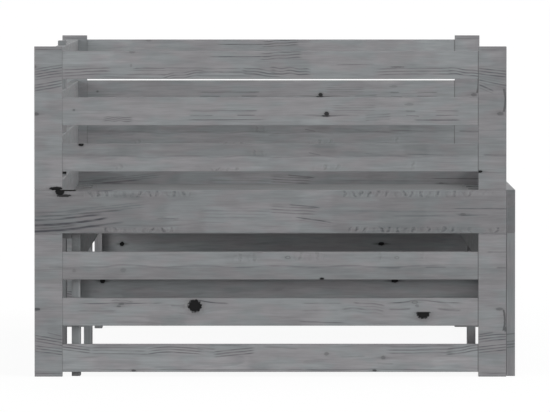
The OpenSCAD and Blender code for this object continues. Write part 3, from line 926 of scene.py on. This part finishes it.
def notched_rail(node, material, other_middles):
    """A rail whose top is cut down under each slat of the other frame."""
    low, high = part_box(node)
    outline = [(low.y, low.z), (high.y, low.z), (high.y, high.z)]
    for y in reversed(other_middles):
        right, left = y + notch_w / 2, y - notch_w / 2
        corners = ((right, 0.0), (right, notch_depth), (left, notch_depth), (left, 0.0))
        outline += [(side, high.z - down) for side, down in corners]
    outline.append((low.y, high.z))
    bm = bmesh.new()
    face = bm.faces.new([bm.verts.new((low.x, y, z)) for y, z in outline])
    pushed = bmesh.ops.extrude_face_region(bm, geom=[face])
    for part in pushed["geom"]:
        if isinstance(part, bmesh.types.BMVert):
            part.co.x = high.x
    bmesh.ops.recalc_face_normals(bm, faces=bm.faces)
    rims = [e for e in bm.edges if abs(e.verts[0].co.x - e.verts[1].co.x) < TINY]
    bevel(bm, rims, sawn_edge_ease, 2)
    finish_board(node, bm, material, ALONG_Y, low)


fixed_middles = slat_middles(13)
pullout_middles = slat_middles(12)
notched_rail("front_rail", base_pine, pullout_middles)
notched_rail("pullout_rear_rail", base_pine, fixed_middles)

head_sink = 0.0002
batten_screw_z = (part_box("left_rail")[0].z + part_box("back_batten")[1].z) / 2
batten_head_r = 0.005
batten_offcut = Vector((0.01, 0.2, 0.0))
batten_screws = {}
for batten, out, steps in (("back_batten", 1, (0.5, 2.5, 4.5)), ("pullout_batten", -1, (1, 3, 5))):
    low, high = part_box(batten)
    head_x = (high.x if out > 0 else low.x) - out * head_sink
    spots = [(head_x, s * k * deck_pitch, batten_screw_z) for s in (-1, 1) for k in steps]
    sinks = [(spot, (out, 0, 0)) for spot in spots]
    eased_board(batten, base_pine, ALONG_Y, low - batten_offcut, sinks, batten_head_r)
    batten_screws[batten] = spots
# The middle leg is painted far paler than the other deck pine: painted light where it stands in the
# shade under the bed. The patch at its top is a painted shadow of the rail.
mid_leg_painted_light_and_shade = stained_pine(
    "deck pine middle leg",
    light=(166, 166, 167),
    deep=(152, 152, 154),
    heart=(30, -60, 20),
    # A painted shadow of the rail across the top of the leg.
    patches=[(232, 30, 22, 40, 0.4)],
    inside_painted_paler=0.0,
)
eased_board("front_mid_leg", mid_leg_painted_light_and_shade, ALONG_Z)

# Deck slats: planed pine strips, thirteen on the fixed frame and twelve on the pull-out frame,
# each held by two countersunk screws at each end. The two sets lie between each other.


def new_rule(name, **sizes):
    """Starts a geometry tree that makes a piece of the sizes and the material given."""
    kind = "GeometryNodeTree"
    return new_group(name, kind, Geometry=GEOMETRY, **sizes, Material="NodeSocketMaterial")


def deliver(geometry, material):
    """Ends a geometry tree: the geometry takes on its material."""
    return hand_over(Geometry=add("GeometryNodeSetMaterial", Geometry=geometry, Material=material))


def stored(geometry, name, value, domain="POINT"):
    """Stores a vector under a name on the geometry."""
    settings = {"data_type": "FLOAT_VECTOR", "domain": domain}
    takes = {"Geometry": geometry, "Name": name, "Value": value}
    return add("GeometryNodeStoreNamedAttribute", **takes, **settings)


def carried(tree, name):
    """The vector that the geometry carries under a name."""
    return add("GeometryNodeInputNamedAttribute", tree=tree, Name=name, data_type="FLOAT_VECTOR")


def position(tree):
    return parts(add("GeometryNodeInputPosition", tree=tree))


def rounded(curve, radius, steps):
    """A curve with its corners rounded."""
    return add("GeometryNodeFilletCurve", Curve=curve, Radius=radius, Count=steps, mode="POLY")


def swept(path, width, thickness, radius, steps):
    """A strip along a path, with its long edges rounded."""
    section = add("GeometryNodeCurvePrimitiveQuadrilateral", Width=width, Height=thickness)
    section = rounded(section, radius, steps)
    return add("GeometryNodeCurveToMesh", path, Profile_Curve=section, Fill_Caps=True)


def moved(geometry, *offset):
    return add("GeometryNodeTransform", geometry, joined(*offset))


def placed(points, thing, turn=None):
    """The thing stood at each point."""
    return add("GeometryNodeInstanceOnPoints", Points=points, Instance=thing, Rotation=turn)


def real(instances):
    return add("GeometryNodeRealizeInstances", instances)


def cut_away(body, *cutters):
    """The body without what the cutters take."""
    left = add("GeometryNodeMeshBoolean", Mesh_1=body, operation="DIFFERENCE", solver="EXACT")
    for cutter in cutters:
        feed(left.socket.node, Mesh_2=cutter)
    return left


def make_slat_rule():
    wood = {"Length": 0.9, "Width": 0.059, "Thickness": 0.013, "Edge_Radius": 0.002}
    row = {"Count": 13, "Pitch": 0.156, "Middle": (0.0, 0.0, 0.0)}
    sinks = {"Screw_Span": 0.88, "Screw_Shift": 0.0, "Screw_Spacing": 0.032, "Head_Radius": 0.0035}
    (
        points, length, width, thickness, edge_r, count, pitch, middle,
        span, shift, spacing, head_r, seed, material,
    ) = new_rule("row of deck slats", **wood, **row, **sinks, Seed=1)
    in_mm = (MM, MM, MM)
    half_l, half_w, half_t = length / 2.0, width / 2.0, thickness / 2.0
    line = add("GeometryNodeCurvePrimitiveLine", Start=joined(half_l * -1.0), End=joined(half_l))
    slat = swept(line, width, thickness, edge_r, 4)
    spots = add("GeometryNodeMeshGrid", Size_X=span, Size_Y=spacing, Vertices_X=2, Vertices_Y=2)
    cone = {"Radius_Top": head_r * 1.18, "Radius_Bottom": head_r * 0.5, "Depth": head_r * 0.68}
    cones = placed(spots, add("GeometryNodeMeshCone", Vertices=20, **cone))
    slat = cut_away(slat, real(moved(cones, shift, 0.0, half_t - head_r * 0.64)))
    x, y, z = position(points.tree)
    slat = stored(slat, "middle", joined(x, z, y) * in_mm)
    slat = stored(slat, "half_size", joined(half_l, half_t, half_w) * in_mm)
    first = middle + joined(0.0, (count - 1.0) / 2.0 * pitch * -1.0)
    row = add("GeometryNodeMeshLine", Count=count, Start_Location=first, Offset=joined(0.0, pitch))
    low, high = (-3000.0, -10.0, -400.0), (3000.0, 20.0, 400.0)
    plank = add("FunctionNodeRandomValue", Min=low, Max=high, Seed=seed, data_type="FLOAT_VECTOR")
    row = real(stored(placed(row, slat), "plank", plank, "INSTANCE"))
    grain = carried(points.tree, "plank") + carried(points.tree, "middle")
    return deliver(stored(row, "grain", grain), material)


def grown(name, rule, body, slot, node, points=None, **sizes):
    """Runs a rule once and puts its result, as a plain mesh, in the place of a CAD node."""
    maker = into_scene(name + "_maker", points or bpy.data.meshes.new(name + "_points"))
    modifier = maker.modifiers.new("rule", "NODES")
    modifier.node_group = rule
    keys = {item.name: item.identifier for item in rule.interface.items_tree if item.in_out == "INPUT"}
    for title, value in sizes.items():
        modifier[keys[title.replace("_", " ")]] = value
    mesh = as_mesh(maker)
    mesh.name = name
    maker.modifiers.clear()
    bpy.data.objects.remove(maker)
    stand_in(name, mesh, body, node)


def middle_x(node):
    """Where the middle of a CAD board lies between the back and the front."""
    low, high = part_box(node)
    return (low.x + high.x) / 2


slat_pine = stained_pine("deck pine slats", heart=(0, -50, 10), ring=4.5, **deck_stain)
slat_rule = make_slat_rule()
slat_screw_gap = 0.032
small_head_r = 0.0035
fixed_screw_xs = (middle_x("back_batten"), middle_x("front_rail"))
pullout_screw_xs = (middle_x("pullout_rear_rail"), middle_x("pullout_batten"))
for name, node, body, count, (rear_x, front_x) in (
    ("fixed_slats", "fixed_deck_slats", "frame", 13, fixed_screw_xs),
    ("pullout_slats", "pullout_deck_slats", "pullout", 12, pullout_screw_xs),
):
    low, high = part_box(node)
    grown(
        name,
        slat_rule,
        body,
        "deck_pine",
        node,
        Length=high.x - low.x,
        Width=deck_slat_w,
        Thickness=high.z - low.z,
        Edge_Radius=0.0018,
        Count=count,
        Pitch=deck_pitch,
        Middle=(low + high) / 2,
        Screw_Span=front_x - rear_x,
        Screw_Shift=(rear_x + front_x - low.x - high.x) / 2,
        Screw_Spacing=slat_screw_gap,
        Head_Radius=small_head_r,
        Seed=count,
        Material=slat_pine,
    )

# Dowels: beech pegs, turned on a lathe and glued into every joint between boards. They are hidden
# inside the wood and keep the shape that the frame gives them.


def turned_beech():
    material, tree, shader = new_finish("beech dowels")
    place = add("ShaderNodeTexCoord", tree=tree, out="Object")
    fleck = noise(place, (300.0, 900.0, 300.0), 3.0)
    colour = blend_colours(noise(place, 40.0), srgb(205, 178, 140), srgb(222, 198, 163))
    colour = blend_colours(ramp(fleck, 0.55, 0.75, 0.0, 0.5), colour, srgb(166, 131, 92))
    feed(shader, Base_Color=colour, Roughness=scaled(fleck, 0.2, 0.55), Normal=relief(fleck, 0.0002))
    return material


beech = turned_beech()
for name in ("frame_dowels", "pullout_dowels"):
    frame["nodes"][name].data.materials.clear()
    frame["nodes"][name].data.materials.append(beech)

# Screws: zinc-plated wood screws with a cross recess. Countersunk ones hold the slats' ends and the
# battens, and pan-head ones the brackets. They are turned from rod, so each is a stack of rings.


def zinc_plated():
    material, tree, shader = new_finish("zinc plate")
    place = add("ShaderNodeTexCoord", tree=tree, out="Object")
    spangle = noise(place, 900.0, 3.0)
    cloud = ramp(noise(place, 120.0), 0.35, 0.65)
    colour = blend_colours(cloud, srgb(186, 188, 190), srgb(205, 203, 192))
    rough = scaled(spangle, 0.25, 0.22)
    feed(shader, Base_Color=colour, Metallic=1.0, Roughness=rough, Normal=relief(spangle, 0.00003))
    return material


def by_number(number, values):
    """The value that belongs to a number, counted from 0."""
    chosen = number.tree.nodes.new("GeometryNodeIndexSwitch")
    chosen.data_type = "FLOAT"
    while len(chosen.index_switch_items) < len(values):
        chosen.index_switch_items.new()
    feed(chosen, number, *values)
    return Wire(chosen.outputs[0])


def carried_turn(tree):
    return add("FunctionNodeEulerToRotation", carried(tree, "turn"))


def make_screw_rule(name, seat, rims):
    """Screws at points that carry a turn. The shank ends at the seat, and the head is a stack of
    rims. These are given as shares of the head's height and radius."""
    sizes = {"Shank_Radius": 0.00175, "Length": 0.03, "Head_Radius": 0.0035, "Head_Height": 0.0018}
    points, shank_r, length, head_r, height, seed, material = new_rule(name, **sizes, Seed=1)
    tip = length * -1.0
    rings = [(tip, shank_r * 0.2), (scaled(shank_r, 2.2, tip), shank_r), (height * seat, shank_r)]
    rings += [(height * up, head_r * out) for up, out in rims]
    steps = len(rings) - 1
    rod = {"Vertices": 14, "Side_Segments": steps, "Radius": 1.0, "Depth": 2.0}
    rod = add("GeometryNodeMeshCylinder", tree=points.tree, **rod)
    x, y, z = position(points.tree)
    ring = calc("ROUND", scaled(z, steps / 2, steps / 2))
    level, reach = (by_number(ring, values) for values in zip(*rings))
    screw = add("GeometryNodeSetPosition", rod, None, joined(x * reach, y * reach, level))
    long, thin, top = head_r * 1.1, head_r * 0.26, rings[-1][0]
    bars = [add("GeometryNodeMeshCube", joined(a, b, height)) for a, b in ((long, thin), (thin, long))]
    screw = cut_away(screw, *(moved(bar, 0.0, 0.0, top) for bar in bars))
    up_to = (None, None, None, math.pi)
    chance = add("FunctionNodeRandomValue", *up_to, Seed=seed, out=1, data_type="FLOAT")
    spin = add("FunctionNodeEulerToRotation", joined(0.0, 0.0, chance))
    turn = add(
        "FunctionNodeRotateRotation", carried_turn(points.tree), spin, rotation_space="LOCAL"
    )
    return deliver(real(placed(points, screw, turn)), material)


def turned_points(name, places):
    """Points that each carry the turn of what stands on them."""
    mesh = bpy.data.meshes.new(name + "_points")
    mesh.from_pydata([p for p, turn in places], [], [])
    turns = mesh.attributes.new("turn", "FLOAT_VECTOR", "POINT")
    turns.data.foreach_set("vector", [a for p, turn in places for a in turn])
    return mesh


def drive_screws(name, rule, body, places, shank_r, length, head_r, head_h, seed):
    grown(
        name,
        rule,
        body,
        "zinc_steel",
        body + "_screws",
        turned_points(name, places),
        Shank_Radius=shank_r,
        Length=length,
        Head_Radius=head_r,
        Head_Height=head_h,
        Seed=seed,
        Material=zinc,
    )


zinc = zinc_plated()
sunk_screw = make_screw_rule("countersunk screws", -1.0, ((-0.12, 1.0), (0.0, 0.97)))
pan_screw = make_screw_rule("pan-head screws", 0.0, ((0.0, 1.0), (0.5, 1.0), (0.85, 0.84), (1.0, 0.5)))
upright = (0.0, 0.0, 0.0)
facing_front = (0.0, math.pi / 2, 0.0)
facing_back = (0.0, -math.pi / 2, 0.0)
small_shank_r = 0.00175
slat_screw_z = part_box("fixed_deck_slats")[1].z - head_sink
for body, xs, middles in (
    ("frame", fixed_screw_xs, fixed_middles),
    ("pullout", pullout_screw_xs, pullout_middles),
):
    offsets = (-slat_screw_gap / 2, slat_screw_gap / 2)
    places = [((x, y + s, slat_screw_z), upright) for x in xs for y in middles for s in offsets]
    sizes = {"shank_r": small_shank_r, "length": 0.03, "head_r": small_head_r, "head_h": 0.00175}
    drive_screws(body + "_slat_screws", sunk_screw, body, places, **sizes, seed=5)
batten_screw_bite = 0.013
for body, batten, turn in (
    ("frame", "back_batten", facing_front),
    ("pullout", "pullout_batten", facing_back),
):
    low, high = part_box(batten)
    length = high.x - low.x + batten_screw_bite
    places = [(spot, turn) for spot in batten_screws[batten]]
    sizes = {"shank_r": 0.0025, "length": length, "head_r": batten_head_r, "head_h": 0.0025}
    drive_screws(batten + "_screws", sunk_screw, body, places, **sizes, seed=7)

# Angle brackets: bent from 2 mm zinc-plated strip. Two at each end of the front rail, and one under
# each end of the back batten, each held by four pan-head screws.


def make_bracket_rule():
    sizes = {"Leg": 0.03, "Width": 0.016, "Thickness": 0.002, "Bend": 0.003}
    points, leg, width, thickness, bend, material = new_rule("angle brackets", **sizes)
    mid = thickness * 0.5
    corner = add("GeometryNodeInputIndex", tree=points.tree)
    x, z = by_number(corner, [leg, mid, mid]), by_number(corner, [mid, mid, leg])
    line = add("GeometryNodeMeshLine", tree=points.tree, Count=3)
    line = add("GeometryNodeSetPosition", line, None, joined(x, 0.0, z))
    path = rounded(add("GeometryNodeMeshToCurve", line), smaller(bend, leg - mid), 5)
    plate = swept(path, width, thickness, thickness * 0.2, 2)
    return deliver(real(placed(points, plate, carried_turn(points.tree))), material)


def shift(x, y, z):
    return Matrix.Translation((x, y, z))


bracket_w = 0.016
bracket_t = 0.002
bracket_holes = (0.0089, 0.0255)
bracket_edge_gap = 0.0005
panel_inside_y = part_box("right_rail")[0].y
rail_inside_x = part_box("front_rail")[1].x
rail_bracket_zs = (0.2485, 0.28)
batten_bracket_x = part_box("left_rear_leg")[1].x - bracket_edge_gap - bracket_w / 2
batten_underside_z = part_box("back_batten")[0].z
corners = []
for s in (-1, 1):
    on_rail = Matrix.Rotation(s * math.pi / 2, 4, "X")
    corners += [shift(rail_inside_x, s * panel_inside_y, z) @ on_rail for z in rail_bracket_zs]
    under_batten = Matrix(((0, -s, 0), (-s, 0, 0), (0, 0, -1))).to_4x4()
    corners.append(shift(batten_bracket_x, s * panel_inside_y, batten_underside_z) @ under_batten)
grown(
    "brackets",
    make_bracket_rule(),
    "frame",
    "zinc_steel",
    "frame_brackets",
    turned_points("bracket", [(m.translation, m.to_euler()) for m in corners]),
    Leg=0.03,
    Width=bracket_w,
    Thickness=bracket_t,
    Bend=0.003,
    Material=zinc,
)
upright_leg = Matrix.Rotation(math.pi / 2, 4, "Y")
seats = [
    corner @ on_leg
    for corner in corners
    for along in bracket_holes
    for on_leg in (shift(along, 0, bracket_t), shift(bracket_t, 0, along) @ upright_leg)
]
places = [(seat.translation, seat.to_euler()) for seat in seats]
sizes = {"shank_r": small_shank_r, "length": 0.015, "head_r": small_head_r, "head_h": 0.0024}
drive_screws("bracket_screws", pan_screw, "frame", places, **sizes, seed=3)

# Floor, light and camera: a plain white studio. The camera looks square on to the left end from
# 15 m away, a little above the bed. Soft light comes from all round and from three wide windows.
white = (1.0, 1.0, 1.0, 1.0)
floor_reach = 150
floor_corners = [(x * floor_reach, y * floor_reach, 0) for x, y in ((-1, -1), (1, -1), (1, 1), (-1, 1))]
floor_mesh = bpy.data.meshes.new("floor")
floor_mesh.from_pydata(floor_corners, [], [(0, 1, 2, 3)])
into_scene("floor", floor_mesh)


def seen_plainly(tree):
    """1 where the camera looks at a surface, also in a reflection or through something clear."""
    rays = ("Camera", "Glossy", "Transmission")
    camera, glossy, clear = (
        add("ShaderNodeLightPath", tree=tree, out=f"Is {ray} Ray") for ray in rays
    )
    return larger(camera, larger(glossy, clear))


def white_floor():
    """Takes the lamps' shadows softly, and glows a little where it is looked at."""
    material, tree, shader = new_finish("white floor")
    tree.nodes.remove(shader)
    paint = add("ShaderNodeBsdfDiffuse", srgb(243, 243, 243), tree=tree)
    glow = add("ShaderNodeEmission", white, 1.05, tree=tree)
    mixed = add("ShaderNodeMixShader", seen_plainly(tree) * 0.88, paint, glow)
    feed(tree.nodes["Material Output"], Surface=mixed)
    return material


def studio_air():
    """Light from all round, which looks white but lights the bed less than half as strongly."""
    world = bpy.data.worlds.new("studio")
    world.use_nodes = True
    tree = world.node_tree
    tree.nodes.clear()
    level = ramp(seen_plainly(tree), 0.0, 1.0, 0.44, 1.0)
    light = add("ShaderNodeBackground", white, level)
    feed(tree.nodes.new("ShaderNodeOutputWorld"), Surface=light)
    return world


def sun(name, towards, strength, angle):
    """A lamp far away, shining from the direction given."""
    lamp = bpy.data.lights.new(name, "SUN")
    lamp.energy = strength
    lamp.angle = math.radians(angle)
    into_scene(name, lamp).rotation_euler = Vector(towards).to_track_quat("Z", "Y").to_euler()


floor_mesh.materials.append(white_floor())
bpy.context.scene.world = studio_air()
sun("low window on the left", (-0.76, -0.64, 0.14), 1.3, 32.0)
sun("low window on the right", (0.66, -0.74, 0.14), 0.5, 40.0)
sun("high window on the right", (0.71, -0.5, 0.5), 0.86, 25.0)
sun("window behind", (0.35, 0.8, 0.5), 0.5, 60.0)

lens = bpy.data.cameras.new("camera")
lens.lens = 470.69
lens.sensor_width = 36.0
lens.clip_end = 500.0
camera = into_scene("camera", lens)
camera.location = (0.0, -16.245, 0.9007)
camera.rotation_euler = (math.radians(90 - 2.0261), 0.0, 0.0)
bpy.context.scene.camera = camera
bpy.context.scene.view_settings.view_transform = "Standard"
